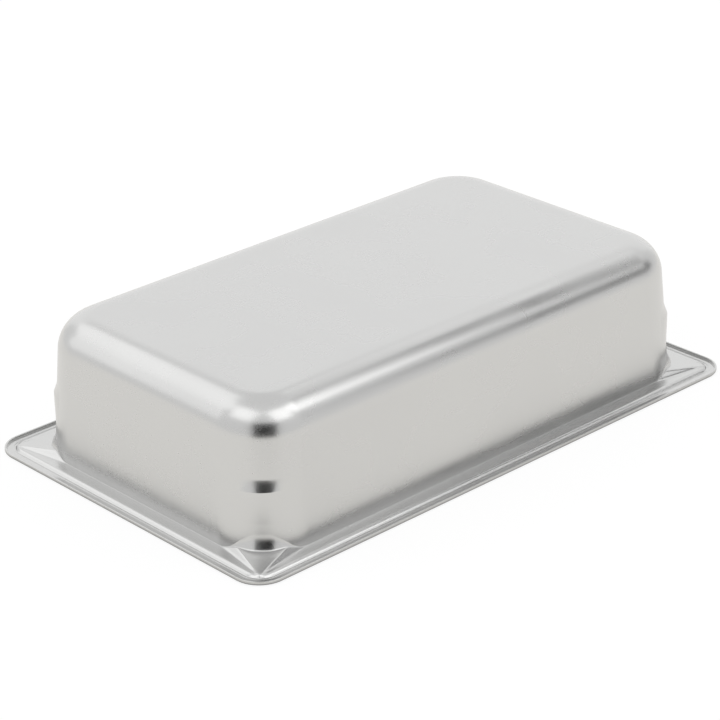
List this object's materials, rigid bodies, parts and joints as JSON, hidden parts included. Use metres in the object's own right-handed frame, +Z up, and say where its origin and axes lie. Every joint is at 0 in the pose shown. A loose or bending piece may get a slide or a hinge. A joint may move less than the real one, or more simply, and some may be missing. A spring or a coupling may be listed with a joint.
{
  "type": "steam table pan",
  "caption": "Shallow rectangular stainless steam table pan, upside down on its rim, with rounded base edges, stacking shoulders in the corners and a narrow lipped flange.",
  "frame": {"origin": "centre of the rim, on the table that the pan lies on upside down", "axes": "+X along the long side, +Y along the short side, +Z up from the rim to the flat base"},
  "size_m": [0.265, 0.162, 0.06],
  "materials": {
    "stainless_sheet": "satin"
  },
  "bodies": {
    "root": {"base_panel": "stainless_sheet", "base_edge_front": "stainless_sheet", "base_edge_back": "stainless_sheet", "base_edge_left": "stainless_sheet", "base_edge_right": "stainless_sheet", "wall_front": "stainless_sheet", "wall_back": "stainless_sheet", "wall_left": "stainless_sheet", "wall_right": "stainless_sheet", "flange_front": "stainless_sheet", "flange_back": "stainless_sheet", "flange_left": "stainless_sheet", "flange_right": "stainless_sheet", "base_corner_front_left": "stainless_sheet", "base_corner_front_right": "stainless_sheet", "base_corner_back_left": "stainless_sheet", "base_corner_back_right": "stainless_sheet", "stacking_corner_front_left": "stainless_sheet", "stacking_corner_front_right": "stainless_sheet", "stacking_corner_back_left": "stainless_sheet", "stacking_corner_back_right": "stainless_sheet", "pour_corner_front_left": "stainless_sheet", "pour_corner_front_right": "stainless_sheet", "pour_corner_back_left": "stainless_sheet", "pour_corner_back_right": "stainless_sheet"}
  },
  "joints": []
}
